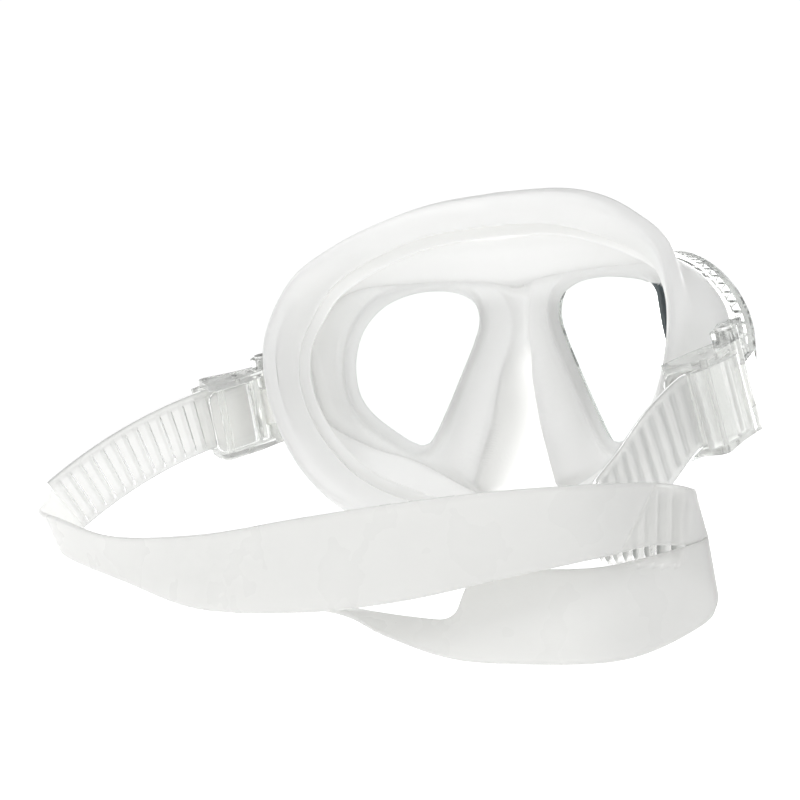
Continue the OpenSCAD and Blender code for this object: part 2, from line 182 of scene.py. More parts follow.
def silicone(name, tint, clear, roughness, sheen, bump, painted_shade_tint):
    """Frosted silicone: milky scatter both ways, a share of straight see-through, a satin skin.
    Where the mesh carries painted shade (rib flanks, moulded edges, shaded stretches) it is mixed toward
    a grey and made less clear; where it is marked thin (nose pocket) more light comes straight through.
    Glow is painted light, an emission on walls lit from behind and on edges that catch the light;
    slate is a painted dark reflection beside the right pane."""
    material, tree = node_tree(name)
    normal, wander = fine_bump(tree, 900, bump, 0.0002)
    shade = add(tree, "MapRange", {"Value": wander, 3: 0.985, 4: 1.0})
    plain = add(tree, "Mix", {"Factor": shade.outputs[0], 6: (*(c * 0.9 for c in tint), 1), 7: (*tint, 1)},
                data_type="RGBA").outputs[2]
    painted_shade = add(tree, "Attribute", attribute_name="painted_shade").outputs["Fac"]
    thin = add(tree, "Attribute", attribute_name="thin").outputs["Fac"]
    slate = add(tree, "Attribute", attribute_name="slate").outputs["Fac"]
    # Painted shade: mixed toward the grey shade tint where the mesh carries it
    colour = add(tree, "Mix", {"Factor": painted_shade, 6: plain, 7: (*painted_shade_tint, 1)}, data_type="RGBA").outputs[2]
    # Painted reflection: a dark slate grey where the mesh carries it, beside the right pane
    colour = add(tree, "Mix", {"Factor": slate, 6: colour, 7: (0.085, 0.105, 0.115, 1)}, data_type="RGBA").outputs[2]
    front = add(tree, "BsdfDiffuse", {"Color": colour, "Normal": normal})
    through = add(tree, "BsdfTranslucent", {"Color": colour, "Normal": normal})
    milk = add(tree, "MixShader", {0: 0.5, 1: front.outputs[0], 2: through.outputs[0]})
    straight = add(tree, "BsdfTransparent", {"Color": (0.985, 0.985, 0.98, 1)})
    facing = add(tree, "LayerWeight", {"Blend": 0.35, "Normal": normal}).outputs["Facing"]
    share = math_node(tree, "MULTIPLY", math_node(tree, "SUBTRACT", 1.0, painted_shade), clear)
    share = math_node(tree, "ADD", share, math_node(tree, "MULTIPLY", thin, 0.6))
    kept = math_node(tree, "SUBTRACT", 1.0, math_node(tree, "MULTIPLY", facing, 0.85))
    body = add(tree, "MixShader", {0: math_node(tree, "MULTIPLY", share, kept, True),
                                   1: milk.outputs[0], 2: straight.outputs[0]})
    rough = add(tree, "MapRange", {"Value": wander, 3: roughness * 0.85, 4: roughness * 1.15})
    gloss = add(tree, "BsdfGlossy", {"Color": (1, 1, 1, 1), "Roughness": rough.outputs[0], "Normal": normal})
    rim = add(tree, "Fresnel", {"IOR": 1.41, "Normal": normal})
    skin = add(tree, "MixShader", {0: math_node(tree, "MULTIPLY", rim.outputs[0], sheen, True),
                                   1: body.outputs[0], 2: gloss.outputs[0]})
    # Painted light: an emission where the mesh carries glow
    glow = add(tree, "Attribute", attribute_name="glow").outputs["Fac"]
    lit = add(tree, "Emission", {"Color": (1, 1, 0.995, 1), "Strength": math_node(tree, "MULTIPLY", glow, 0.25)})
    both = add(tree, "AddShader", {0: skin.outputs[0], 1: lit.outputs[0]})
    add(tree, "OutputMaterial", {"Surface": both.outputs[0]})
    return material


def clear_plastic(name, tint, haze, roughness, ior=1.53, bump=0.12, painted_edge_glow=False):
    """Clear moulded plastic: refracts for the eye, lets shadow and soft light straight through.
    A pane set in silicone gets painted light on its edge faces: they emit white instead of refracting, standing in for
    the lit silicone round its edge."""
    material, tree = node_tree(name)
    normal, wander = fine_bump(tree, 500, bump, 0.0001)
    rough = add(tree, "MapRange", {"Value": wander, 3: roughness * 0.7, 4: roughness * 1.3})
    glass = add(tree, "BsdfGlass", {"Color": (*tint, 1), "Roughness": rough.outputs[0], "IOR": ior,
                                    "Normal": normal})
    milk = add(tree, "BsdfDiffuse", {"Color": (0.87, 0.87, 0.86, 1), "Normal": normal})
    seen = add(tree, "MixShader", {0: haze, 1: glass.outputs[0], 2: milk.outputs[0]})
    # Painted light: the pane's edge faces emit white
    if painted_edge_glow:
        facing = add(tree, "SeparateXYZ", {"Vector": add(tree, "NewGeometry").outputs["True Normal"]}).outputs["Y"]
        edge = math_node(tree, "LESS_THAN", math_node(tree, "ABSOLUTE", facing), 0.9)
        seat = add(tree, "Emission", {"Color": (1, 1, 0.99, 1), "Strength": 0.8})
        seen = add(tree, "MixShader", {0: edge, 1: seen.outputs[0], 2: seat.outputs[0]})
    straight = add(tree, "BsdfTransparent", {"Color": (*(0.5 + 0.5 * c for c in tint), 1)})
    path = add(tree, "LightPath")
    soft = math_node(tree, "MAXIMUM", path.outputs["Is Shadow Ray"], path.outputs["Is Diffuse Ray"])
    out = add(tree, "MixShader", {0: soft, 1: seen.outputs[0], 2: straight.outputs[0]})
    add(tree, "OutputMaterial", {"Surface": out.outputs[0]})
    return material


def milky_nylon(name):
    material, tree = node_tree(name)
    normal, wander = fine_bump(tree, 700, 0.2, 0.0001)
    rough = add(tree, "MapRange", {"Value": wander, 3: 0.35, 4: 0.5})
    skin = add(tree, "BsdfPrincipled", {"Base Color": (0.93, 0.92, 0.89, 1), "Roughness": rough.outputs[0],
                                        "Subsurface Weight": 0.3, "Subsurface Radius": (0.002, 0.002, 0.0018),
                                        "Normal": normal})
    add(tree, "OutputMaterial", {"Surface": skin.outputs[0]})
    return material


def steel(name):
    """Plain stainless pin, with fine turned rings along it."""
    material, tree = node_tree(name)
    place = add(tree, "TexCoord")
    rings = add(tree, "TexWave", {"Vector": place.outputs["Object"], "Scale": 900, "Distortion": 1.5},
                bands_direction="Z")
    bump = add(tree, "Bump", {"Height": rings.outputs["Fac"], "Strength": 0.15, "Distance": 0.00005})
    rough = add(tree, "MapRange", {"Value": rings.outputs["Fac"], 3: 0.2, 4: 0.32})
    skin = add(tree, "BsdfPrincipled", {"Base Color": (0.8, 0.8, 0.79, 1), "Metallic": 1.0,
                                        "Roughness": rough.outputs[0], "Normal": bump.outputs["Normal"]})
    add(tree, "OutputMaterial", {"Surface": skin.outputs[0]})
    return material


MATERIALS = {
    # The last colour of each silicone is the grey of its painted shade
    "skirt_silicone": silicone("skirt_silicone", (0.965, 0.965, 0.957), 0.05, 0.34, 0.8, 0.2, (0.66, 0.66, 0.65)),
    "band_silicone": silicone("band_silicone", (0.865, 0.865, 0.85), 0.08, 0.28, 0.6, 0.2, (0.62, 0.62, 0.61)),
    "strap_silicone": silicone("strap_silicone", (0.91, 0.91, 0.895), 0.5, 0.16, 1.0, 0.12, (0.45, 0.46, 0.45)),
    "clear_plastic": clear_plastic("clear_plastic", (0.93, 0.935, 0.93), 0.05, 0.03),
    "buckle_plastic": clear_plastic("buckle_plastic", (0.95, 0.955, 0.945), 0.2, 0.08),
    "lever_plastic": clear_plastic("lever_plastic", (0.95, 0.955, 0.945), 0.25, 0.10),
    "roller_plastic": clear_plastic("roller_plastic", (0.94, 0.945, 0.935), 0.3, 0.12),
    "bezel_plastic": clear_plastic("bezel_plastic", (0.95, 0.955, 0.95), 0.04, 0.04),
    "lens_glass": clear_plastic("lens_glass", (0.985, 0.995, 0.99), 0.0, 0.0, 1.5, 0.0, True),
    "bush_nylon": milky_nylon("bush_nylon"),
    "pin_steel": steel("pin_steel"),
    "axle_steel": steel("axle_steel"),
}


def dress_cad_nodes():
    slots = {row["node"]: row["material_slot"] for row in frame["record"]["subparts"]}
    for name, obj in frame["nodes"].items():
        obj.data.materials.clear()
        obj.data.materials.append(MATERIALS[slots[name]])
        if name.startswith("lens"):
            obj.data.polygons.foreach_set("use_smooth", [False] * len(obj.data.polygons))
        else:
            weld = obj.modifiers.new("weld", "WELD")
            weld.merge_threshold = 0.002 * MM


# ------------------------------------------------------------------ skirt

WINDOW = [[61.5, -1], [60.8, 6], [57.6, 13], [51.5, 18.6], [43, 22.2], [33, 23.4], [23.5, 22.4],
          [16.8, 19], [15.2, 13.5], [17.4, 7], [20.6, 0.8], [24.2, -6], [28, -13], [32.2, -20],
          [35.5, -23.6], [40, -23.4], [47.5, -19.4], [55.5, -13.8], [60, -8]]
SEAT = [[0, 7.4, 25.5], [22, 9.6, 27.5], [40, 12, 28], [52, 14.6, 28], [59.4, 15.6, 27], [64.8, 16.4, 25.2],
        [69.7, 17.1, 22.4], [73.4, 17.6, 19.3], [76.6, 18, 15.8], [79, 18.4, 12], [80, 18.6, 7],
        [79, 18.7, 1], [77.4, 18.7, -4], [75.6, 18.7, -11], [70.5, 17.6, -18.5], [54, 14.6, -26.4],
        [38, 12, -31], [18, 6, -41], [0, 1, -46]]
BEND = [[0, 18, 50], [23, 19.5, 49], [40, 22.5, 45.5], [56, 28, 39], [70, 33, 29.5], [77, 38, 13],
        [76.2, 40, -2], [71.5, 39.5, -17], [63, 38, -31], [51, 35, -42], [35, 30, -49.5],
        [18, 24, -53], [0, 21, -54]]
LIP = [[0, 21, 41], [21, 22, 40], [36.5, 23.6, 36.7], [51.5, 25.2, 31.4], [61.5, 26, 25.6], [67, 28, 17.5],
       [69.8, 31.2, 8], [69.2, 32.8, -3], [64.5, 33, -14.5], [56, 33, -25], [44.5, 32, -34],
       [31, 29, -40], [16, 26, -44], [0, 24.5, -44.5]]
# The right window as it shows past the flange, narrower at its outer end (sideways taken positive)
RIGHT_WINDOW = [[60.5, -5], [57.2, 2.5], [55.6, 8], [54.6, 13.5], [53.6, 18], [50.5, 20.9], [43, 22.6]] + WINDOW[5:-1]


def fair_loop(line):
    """The closed loop through a guide line and its mirror image, the same number of points for each."""
    half = spline(line, 12)
    s = np.concatenate([[0], np.cumsum(np.linalg.norm(np.diff(half, axis=0), axis=1))])
    even = np.linspace(0, s[-1], 110)
    half = np.stack([np.interp(even, s, half[:, k]) for k in range(3)], 1)
    return np.vstack([half, (half * [-1, 1, 1])[-2:0:-1]])


def outward(loop):
    """Unit vectors in the X-Z plane, pointing out of the loop."""
    d = np.roll(loop, -1, 0) - np.roll(loop, 1, 0)
    return unit(np.stack([-d[:, 2], 0 * d[:, 0], d[:, 0]], 1))


def seal_rows():
    """The seal's section as rows of points: out and round the bend, then the double lip."""
    seat, bend, lip = (fair_loop(line) for line in (SEAT, BEND, LIP))
    out, back = outward(bend), np.array([0, 1.0, 0])
    lip_out = outward(lip)
    middle = seat * 0.45 + bend * 0.55 - out * 1.5
    inner = lip - lip_out * (3.0 - 1.9 * lip_out[:, :1] ** 2) - back * 4.0
    r = BEND_R * (1 - 0.55 * out[:, :1] ** 2)
    turned = bend - out * r + back * r
    crotch = bend - out * (SKIRT_T + 1.6) - back * 1.5
    return [seat - back * 1.0, middle, bend - back * 4, bend - back * 0.4, bend - out * r * 0.3 + back * r * 0.63,
            turned, (turned + lip) / 2 + back * 0.6,
            lip + back * LIP_T / 2, lip - lip_out * 0.6, lip - back * LIP_T / 2,
            (turned + lip) / 2 - back * 1.2, crotch,
            (crotch + inner) / 2 - back * 1.4, inner + back * 0.5, inner - lip_out * 0.5, inner - back * 0.5,
            (crotch + inner) / 2 - back * 3.6, bend - out * (SKIRT_T + 0.8) - back * 7.5,
            middle - out * SKIRT_T, seat - out * SKIRT_T + back * 0.8, seat - out * SKIRT_T - back * 1.0]


# Painted light (emission) for each row of the seal's section, standing in for light caught on both lip edges and in
# the pocket between the lips
SEAL_GLOW = [0, 0, 0, 0, 0, 0, 0, 0, 0.5, 0, 0.2, 0.3, 0.2, 0.2, 0.8, 0.3, 0.35, 0.3, 0.2, 0.1, 0]


def build_seal():
    rows = np.array(seal_rows())
    section = np.stack([spline(rows[:, i], 3, True) for i in range(rows.shape[1])], 1)
    count = section.shape[1]
    faces = ring_faces(section.shape[0], count, True)
    obj = new_mesh("skirt_seal", section.reshape(-1, 3), faces, MATERIALS["skirt_silicone"])
    by_row = np.interp(np.arange(len(section)) / 3, np.arange(len(rows) + 1), SEAL_GLOW + SEAL_GLOW[:1])
    # The painted light grows stronger towards the top of the seal
    high = 0.45 + 0.55 * smooth_step((section[..., 2] - 5) / 25)
    obj.data.attributes.new("glow", "FLOAT", "POINT").data.foreach_set("value", (by_row[:, None] * high).ravel())
    return obj


def line_distance(points, line, closed):
    """Distance from each 2-D point to a polyline."""
    ends = np.roll(line, -1, 0) if closed else line[1:]
    starts = line if closed else line[:-1]
    best = np.full(len(points), 1e9)
    for a, b in zip(starts, ends):
        d = b - a
        t = np.clip(((points - a) @ d) / (d @ d), 0, 1)
        best = np.minimum(best, np.linalg.norm(points - a - t[:, None] * d, axis=1))
    return best


def inside(points, loop):
    x, z = points.T
    hit = np.zeros(len(points), bool)
    for (ax, az), (bx, bz) in zip(loop, np.roll(loop, -1, 0)):
        with np.errstate(divide="ignore", invalid="ignore"):
            cross = (az > z) != (bz > z)
            hit ^= cross & (x < (bx - ax) * (z - az) / (bz - az) + ax)
    return hit


LEFT_LINE, RIGHT_LINE = spline(WINDOW, 10, True), spline(RIGHT_WINDOW, 10, True)


def window_gap(p):
    """Distance of points [sideways, up] to the edge of the window on their own side."""
    flat = p * [1, 1]
    flat[:, 0] = np.abs(p[:, 0])
    return np.where(p[:, 0] >= 0, line_distance(flat, LEFT_LINE, True), line_distance(flat, RIGHT_LINE, True))


# Ridge on each side of the nose, from its flare at the brow down to the pocket's foot: [sideways, up]
RIDGE = [[17, 28.5], [9.5, 24.5], [4.8, 19], [3.4, 13], [3.8, 7], [6.6, -4], [9.6, -18], [13.8, -30], [17, -39]]
RIDGE_UP = [1.0, 1.6, 1.6, 1.4, 1.6, 2.0, 2.6, 3.2, 3.4]
RIDGE_GAPS = (-4.6, -3.8, -3.1, -2.5, -2.0, -1.6, -1.25, -0.95, -0.7, -0.5, -0.2, 0.2, 0.7, 1.3, 2.0, 2.9, 3.9, 4.9)


def front_depth(p):
    """How far back the face side of the skirt's front wall lies, for points [sideways, up]."""
    x, z = np.abs(p[:, 0]), p[:, 1]
    flat = np.stack([x, z], 1)
    plane = (LENS_BACK + SKIRT_T) / math.cos(RAKE) + np.sqrt(x * x + 9) * math.tan(RAKE) - 3 * math.tan(RAKE)
    ridge = spline(RIDGE, 6)
    height = np.interp(np.arange(len(ridge)) / 6, np.arange(len(RIDGE_UP)), RIDGE_UP)
    nearest = np.argmin(((flat[:, None] - ridge[None]) ** 2).sum(2), 1)
    ridge_x = np.interp(-z, -ridge[:, 1], ridge[:, 0])
    off = line_distance(flat, ridge, False)
    is_out = x > ridge_x
    spread = np.where(is_out, 6.5, 2.0)
    lift = height[nearest] * np.exp(-(off / spread) ** 1.7)
    width = np.maximum(ridge_x - 0.5, 1.0)
    floor = smooth_step((7 - z) / 34) ** 0.8 * 25
    floor *= smooth_step((z + 46) / 9)
    across = np.clip(1 - (x / width) ** 2.6, 0, 1) ** 0.75
    pocket = floor * across
    dip = 2.6 * np.exp(-(x / 8) ** 2) * smooth_step((z + 6) / 10)
    pad = 0.6 * smooth_step((ridge_x - x) / 2.5) * smooth_step((22.5 - z) / 0.8) * smooth_step((z - 5) / 6)
    gap = window_gap(p)
    bead = 0.9 * np.exp(-((gap - 2.3) / 0.9) ** 2) - 1.9 * np.exp(-(gap / 0.8) ** 2)
    groove = -0.5 * np.exp(-((gap - 4.6) / 0.8) ** 2)
    return plane + lift - dip - pocket - pad + (bead + groove) * smooth_step(gap / 0.3 + 1)


def seat_blend(p, y, loop, width):
    """Brings the front wall to the seat line's own depth along its edge."""
    flat = loop[:, [0, 2]]
    nearest = np.argmin(((p[:, None] - flat[None]) ** 2).sum(2), 1)
    gap = line_distance(p, flat, True)
    share = smooth_step(1 - gap / width)
    return y + (loop[nearest, 1] + 1.0 - y) * share


def build_front():
    """The skirt's front wall: one sheet round both windows, with the nose pocket pressed forward."""
    seat = fair_loop(SEAT)
    edge_loop = seat - outward(seat) * 1.0
    edge = edge_loop[:, [0, 2]]
    left = LEFT_LINE
    right = RIGHT_LINE[::-1] * [-1, 1]
    pitch = 1.05
    rows = np.arange(-50, 32, pitch * 0.866)
    grid = np.array([[x + (k % 2) * pitch / 2, z] for k, z in enumerate(rows) for x in np.arange(-76, 76, pitch)])
    near = np.minimum(line_distance(grid, left, True), line_distance(grid, right, True))
    keep = inside(grid, edge) & ~inside(grid, left) & ~inside(grid, right)
    keep &= (near > 5.2) & (line_distance(grid, edge, True) > 0.6)
    rings = []
    for loop in (left, right):
        d = np.roll(loop, -1, 0) - np.roll(loop, 1, 0)
        n = unit(np.stack([d[:, 1], -d[:, 0]], 1))
        if inside(loop[:1] + n[:1] * 0.1, loop)[0]:
            n = -n
        for gap in (0.35, 0.8, 1.3, 1.8, 2.3, 2.8, 3.4, 4.0, 4.6):
            ring = loop + n * gap
            rings.append(ring[inside(ring, edge) & (line_distance(ring, edge, True) > 0.5)])
    ridge = spline(RIDGE, 16)[20:]
    for side in (-1, 1):
        for gap in RIDGE_GAPS:
            row = np.stack([side * np.maximum(ridge[:, 0] + gap, 0.3), ridge[:, 1]], 1)
            rings.append(row[np.minimum(line_distance(row, left, True), line_distance(row, right, True)) > 5.0])
    near_ridge = np.abs(np.abs(grid[:, 0]) - np.interp(-grid[:, 1], -ridge[:, 1], ridge[:, 0])) < 5.2
    keep &= ~(near_ridge & (grid[:, 1] < ridge[0, 1]) & (grid[:, 1] > ridge[-1, 1]))
    fixed = np.vstack([edge, left, right])
    points = np.vstack([fixed, grid[keep]] + rings)
    edges, start = [], 0
    for loop in (edge, left, right):
        edges += [(start + i, start + (i + 1) % len(loop)) for i in range(len(loop))]
        start += len(loop)
    verts, _, tris, _, _, _ = delaunay_2d_cdt([Vector(p) for p in points], edges, [], 0, 1e-5)
    flat = np.array([tuple(v) for v in verts])
    centre = np.array([flat[list(t)].mean(0) for t in tris])
    good = inside(centre, edge) & ~inside(centre, left) & ~inside(centre, right)
    tris = [tuple(t) for t, ok in zip(tris, good) if ok]
    y = seat_blend(flat, front_depth(flat), edge_loop, 5.0)
    obj = new_mesh("skirt_front", np.stack([flat[:, 0], y, flat[:, 1]], 1), tris, MATERIALS["skirt_silicone"])
    gap = window_gap(flat)
    # Painted shade on the walls between the windows and the nose, fading away from the windows and towards the brow
    painted_shade = 0.45 * np.exp(-(gap / 13) ** 2) * smooth_step((34 - np.abs(flat[:, 0])) / 12)
    painted_shade *= smooth_step((23 - flat[:, 1]) / 7)
    ridge_x = np.interp(-flat[:, 1], -ridge[:, 1], ridge[:, 0])
    pocket = smooth_step((ridge_x - 1 - np.abs(flat[:, 0])) / 3) * smooth_step((9 - flat[:, 1]) / 11)
    # Painted light in the nose pocket, which is also made more see-through
    glow = 0.6 * pocket
    x, z = flat.T
    # Painted dark reflection: a sliver beside the right pane's outer edge, wider higher up
    reach = 1.35 * np.sqrt(np.clip((z - 1.5) / 13, 0, 1))
    reach *= np.sqrt(np.clip(1 - (np.maximum(z - 18, 0) / 2.4) ** 2, 0, 1))
    slate = smooth_step((gap - 0.35) / 0.3) * smooth_step((0.5 + 3.2 * reach - gap) / 0.35) * (x < -50.5)
    for key, value in (("painted_shade", painted_shade), ("thin", 0.4 * pocket), ("slate", slate), ("glow", glow)):
        obj.data.attributes.new(key, "FLOAT", "POINT").data.foreach_set("value", value)
    thick = obj.modifiers.new("wall", "SOLIDIFY")
    thick.thickness = SKIRT_T * 0.9 * MM
    thick.offset = face_side(obj)
    return apply_modifiers(obj)


def face_side(obj):
    """Solidify's offset that adds the wall on the side away from the face."""
    mean_y = sum(p.normal.y * p.area for p in obj.data.polygons)
    return -1.0 if mean_y > 0 else 1.0


# ------------------------------------------------------------------ strap

HINGE = np.array([87.8, 27.8, -7.0])
HINGE_LEAN, HINGE_TILT = 16, 4
LEFT_SWING, RIGHT_SWING = 18, -10
BUCKLE_Z = -2.5
ROLLER = np.array([0.8, 10.4])
WRAP_MID = 2.9 + 0.15 + STRAP_T / 2
STRAP_HALF = 10.0
TAIL_LEN, TAIL_CORNER = 12.0, 3.0


def turn(axis, degrees):
    return np.array(Matrix.Rotation(math.radians(degrees), 3, axis))


def hinge_point(local, swing, side):
    """A point drawn at the hinge (out, back, up the pin) in the drawing frame."""
    m = turn("X", -HINGE_LEAN) @ turn("Y", -HINGE_TILT) @ turn("Z", -swing)
    return (HINGE + np.atleast_2d(local) @ m.T) * [side, 1, 1]


def buckle_rails(straight):
    """Strap edges through a buckle: rounded tail end, back to the roller, round it, and out straight."""
    low, high = [], []

    def station(x, y, half):
        low.append([x, y, BUCKLE_Z - half])
        high.append([x, y, BUCKLE_Z + half])

    x_in, x_out = ROLLER[0] - WRAP_MID, ROLLER[0] + WRAP_MID
    end_y = ROLLER[1] + TAIL_LEN
    for a in np.linspace(8, 90, 10):
        r = math.radians(a)
        station(x_in, end_y - TAIL_CORNER * (1 - math.cos(r)), STRAP_HALF - TAIL_CORNER * (1 - math.sin(r)))
    for y in np.linspace(end_y - TAIL_CORNER, ROLLER[1], 16)[1:]:
        station(x_in, y, STRAP_HALF)
    for a in np.linspace(180, 0, 16)[1:-1]:
        r = math.radians(a)
        station(ROLLER[0] + WRAP_MID * math.cos(r), ROLLER[1] - WRAP_MID * math.sin(r), STRAP_HALF)
    for y in np.linspace(ROLLER[1], straight, 12):
        station(x_out, y, STRAP_HALF)
    return np.array(low), np.array(high)


def ribbon(name, low, high, material, rib_side, rib_from, rib_to, dark_from=1e9, body=0.0, columns=22):
    """A closed strap between two edge lines, with ribs on one face between two arc lengths."""
    mid = (low + high) / 2
    s, even = spaced(mid, 0.42)
    low = np.stack([np.interp(even, s, low[:, k]) for k in range(3)], 1)
    high = np.stack([np.interp(even, s, high[:, k]) for k in range(3)], 1)
    mid, across = (low + high) / 2, high - low
    half = np.linalg.norm(across, axis=1) / 2
    across = unit(across)
    normal = unit(np.cross(np.gradient(mid, axis=0), across))
    rib = smooth_step((0.62 - np.abs((even % RIB_PITCH) - RIB_PITCH / 2)) / 0.3)
    rib = rib * ((even > rib_from) & (even < rib_to)) * RIB_H
    inset = np.minimum(STRAP_T / 2 / np.maximum(half, 0.3), 0.9)
    base = np.concatenate([-1 + np.array([0, 0.12, 0.45, 1.0]), np.zeros(columns), 1 - np.array([1.0, 0.45, 0.12, 0])])
    # Painted shade: greyer on the rib flanks and over the strap's body, and on the ribs past dark_from where the strap
    # turns into the fold
    flank = np.abs(np.gradient(rib, even)) * (0.18 + 1.2 * body) + body
    fold_painted_shade = 0.9 * (rib > 0.3 * RIB_H) * smooth_step((even - dark_from) / 6)
    rows, painted_shade = [], []
    for face in (1, -1):
        for k, b in enumerate(base):
            if k < 4:
                t = -1 + (b + 1) * inset
            elif k >= 4 + columns:
                t = 1 - (1 - b) * inset
            else:
                t = (-1 + inset) + (2 - 2 * inset) * (k - 3) / (columns + 1)
            edge = np.sqrt(np.clip(1 - np.clip((np.abs(t) - 1 + inset) / inset, 0, 1) ** 2, 0, 1))
            lift = face * STRAP_T / 2 * edge
            from_edge = (1 - np.abs(t)) * half
            rail = 0.18 * np.exp(-((from_edge - 1.3) / 0.7) ** 2)
            if face == rib_side:
                lift = lift + face * (rib * smooth_step((from_edge - 2.1) / 0.5) + rail)
            rows.append(mid + across * (t * half)[:, None] + normal * lift[:, None])
            inner = smooth_step((from_edge - 2.0) / 0.6)
            # Painted shade along the strap's edges and along the raised rail inside them
            side = np.exp(-(from_edge / 0.55) ** 2) + 0.55 * np.exp(-((from_edge - 2.1) / 0.35) ** 2)
            painted_shade.append(np.clip((flank + fold_painted_shade) * inner + side, 0, 1))
    ring = np.array(rows[:len(base)] + rows[len(base):][::-1])
    painted_shade = np.array(painted_shade[:len(base)] + painted_shade[len(base):][::-1])
    keep = [k for k in range(len(ring)) if k not in (len(base), len(ring) - 1)]
    ring, painted_shade = ring[keep].transpose(1, 0, 2), painted_shade[keep].T
    count = ring.shape[1]
    faces = ring_faces(len(ring), count, False)
    faces += [tuple(range(count))[::-1], tuple((len(ring) - 1) * count + i for i in range(count))]
    obj = new_mesh(name, ring.reshape(-1, 3), faces, material)
    obj.data.attributes.new("painted_shade", "FLOAT", "POINT").data.foreach_set("value", painted_shade.ravel())
    return obj


def build_left_strap():
    """The left ribbed end: through the buckle, then bending down in its own plane to the corner."""
    length, bend = 62.0, 24.0
    low, high = buckle_rails(13.0)
    radius = length / math.radians(bend)
    x_out = ROLLER[0] + WRAP_MID
    for a in np.linspace(0, math.radians(bend), 60)[1:]:
        for rail, r in ((0, radius - STRAP_HALF), (1, radius + STRAP_HALF)):
            point = [x_out, 13.0 + r * math.sin(a), BUCKLE_Z - radius + r * math.cos(a)]
            if rail:
                high = np.vstack([high, point])
            else:
                low = np.vstack([low, point])
    low, high = hinge_point(low, LEFT_SWING, 1), hinge_point(high, LEFT_SWING, 1)
    return ribbon("strap_end_left", low, high, MATERIALS["strap_silicone"], -1, 14.0, 89.0)


RIGHT_LOW = [[-88.9, 48.8, -26], [-85, 56, -35], [-80, 65, -44.5], [-77, 74, -51.5], [-84, 83, -53],
             [-95, 88, -51.5], [-106, 90.5, -50.5], [-116, 91, -50.5]]
RIGHT_HIGH = [[-87.5, 54.3, -6.8], [-82.5, 62, -15], [-77.5, 68, -25], [-75.5, 75, -32], [-83, 81.5, -34],
              [-94.5, 86.5, -32], [-106, 88.5, -31.5], [-114.5, 88.5, -33]]


def build_right_strap():
    """The right ribbed end: through the buckle, then down, in and back to the fold."""
    low, high = buckle_rails(24.0)
    low, high = hinge_point(low, RIGHT_SWING, -1), hinge_point(high, RIGHT_SWING, -1)
    low = np.vstack([low[:-4], spline([low[-5].tolist()] + RIGHT_LOW, 10)[1:]])
    high = np.vstack([high[:-4], spline([high[-5].tolist()] + RIGHT_HIGH, 10)[1:]])
    # Painted shade on the ribs past 96 mm, where the strap turns into the fold, and a grey over its body
    return ribbon("strap_end_right", low, high, MATERIALS["strap_silicone"], 1, 14.0, 200.0, 96.0, 0.2)


# Head band edges, left corner to the inside of the right fold: [sideways, back, up]
TOP_HIGH = [[115.8, 95.2, -32.8], [115.6, 97.6, -36.9], [112.3, 102.4, -38.9], [104.8, 105.3, -40],
            [97.1, 107.6, -40.7], [67.4, 112, -45.2], [22.8, 118, -43.4], [-18.1, 121, -38.2],
            [-50.3, 119, -34.3], [-78.2, 115, -31.6], [-101.2, 107, -30.4], [-110.8, 101, -30.5],
            [-114.8, 96.5, -31.2], [-116.1, 93, -32.3], [-114.5, 88.5, -33]]
TOP_LOW = [[115.2, 87.9, -40.6], [114.8, 90.6, -44.6], [111.4, 96, -47.4], [104.2, 100.7, -50.7],
           [93.8, 104.1, -53.6], [61.8, 111, -58.3], [23.9, 119, -63.4], [-17.9, 122, -62.2],
           [-50, 120, -58.3], [-78.1, 116, -52.4], [-101.1, 108, -47.4], [-110.8, 102, -44.9],
           [-117.3, 96.5, -45], [-119.6, 93, -43.5], [-115.5, 89.8, -41.5]]
LOW_HIGH = [[115.2, 87.9, -40.6], [114.8, 90.6, -44.6], [111.4, 96, -47.4], [103.7, 98.7, -49.7],
            [93.6, 101.1, -50.7], [66, 103, -52.5], [26, 101, -57], [-13.8, 101.5, -63.2], [-46, 107, -64],
            [-57.3, 108, -62.1], [-64, 105.5, -52.2], [-97.5, 103.5, -49.8], [-117.3, 96.5, -45],
            [-119.6, 93, -43.5], [-115.5, 89.8, -41.5]]
LOW_LOW = [[114.7, 82.5, -46.9], [114.3, 84.6, -51.1], [110.9, 89.5, -53.4], [103.2, 94.2, -54.4],
           [94.1, 97.6, -55.7], [64, 105, -59], [24, 108, -62.3], [-17.7, 110, -62.7], [-34.7, 111, -67.8],
           [-55.2, 112, -72], [-73.8, 112, -72.7], [-105.6, 108, -70.6], [-122.8, 101, -62.8],
           [-124.6, 97, -57.1], [-116, 91, -50.5]]
JOINED_LEFT, JOINED_RIGHT = 2, 12     # the split runs between these two stations
BAND_STEPS, BAND_COLUMNS = 10, 12


